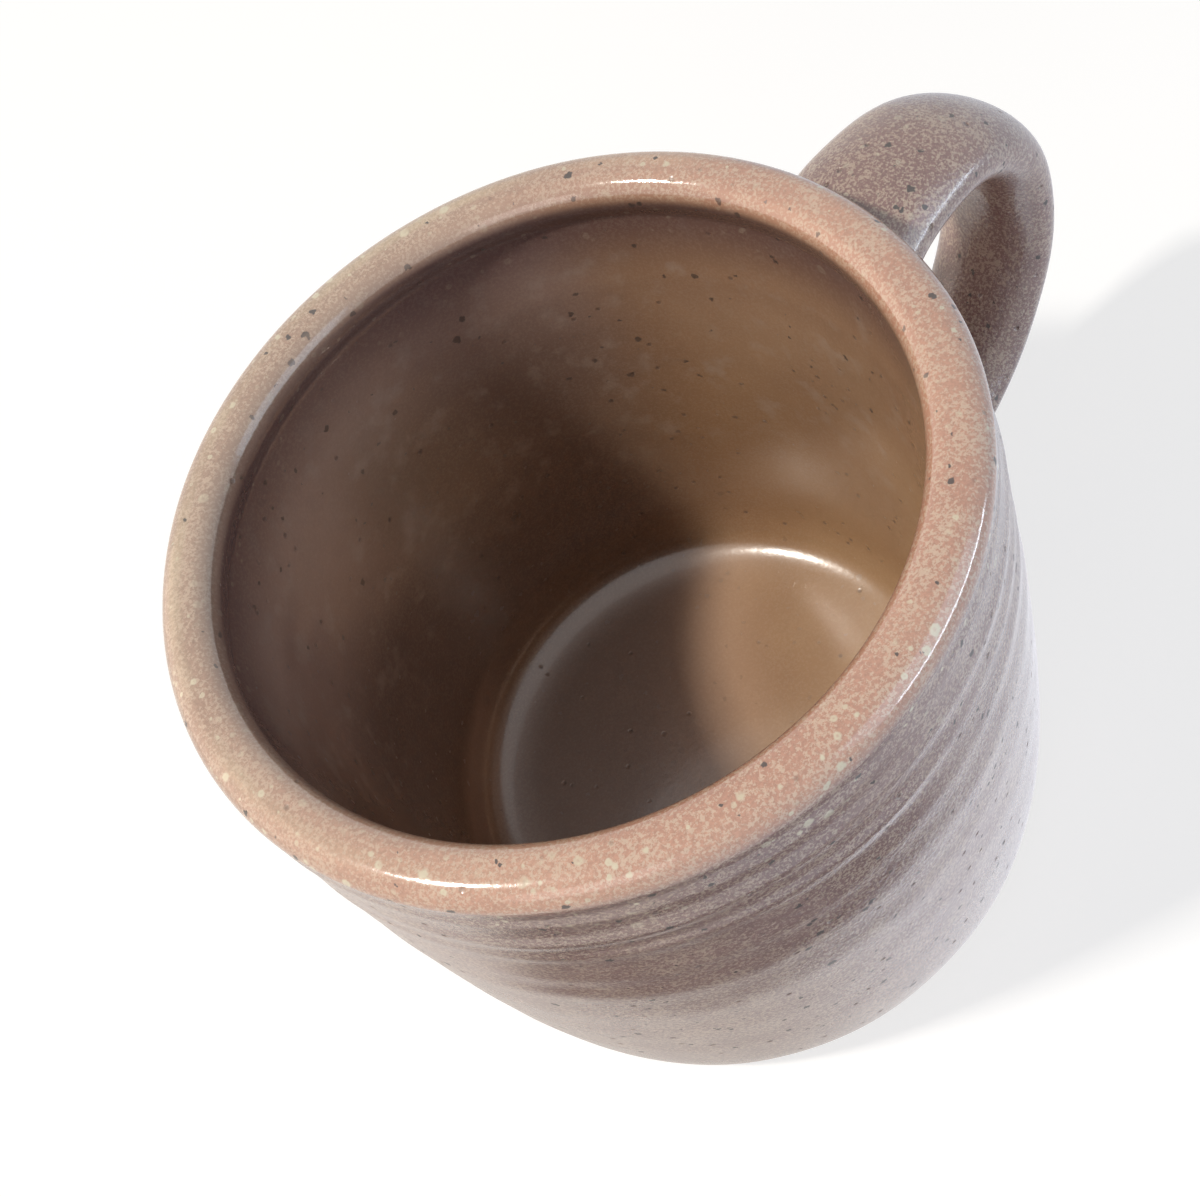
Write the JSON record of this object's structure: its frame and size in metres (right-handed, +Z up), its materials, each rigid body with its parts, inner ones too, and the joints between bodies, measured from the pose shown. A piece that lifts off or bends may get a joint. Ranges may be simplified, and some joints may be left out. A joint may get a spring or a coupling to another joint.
{
  "type": "coffee mug",
  "caption": "Hand-thrown stoneware mug with a broad rounded lip, straight wall and pulled strap handle, speckled mauve glaze inside and out over a bare clay foot.",
  "frame": {"origin": "centre of the flat base", "axes": "+Z up the cup's axis, +X towards the handle"},
  "size_m": [0.1265, 0.0926, 0.081],
  "materials": {
    "clay": "bare fired stoneware clay",
    "slip": "fired slip",
    "liner_glaze": "glossy brown glaze with pale flecks",
    "outer_glaze": "satin-gloss mauve glaze with iron speckles"
  },
  "bodies": {
    "root": {"thrown_cup": "clay", "pulled_handle": "clay", "upper_slip_joint": "slip", "lower_slip_joint": "slip", "liner_glaze": "liner_glaze", "outer_glaze": "outer_glaze", "handle_glaze": "outer_glaze"}
  },
  "joints": []
}
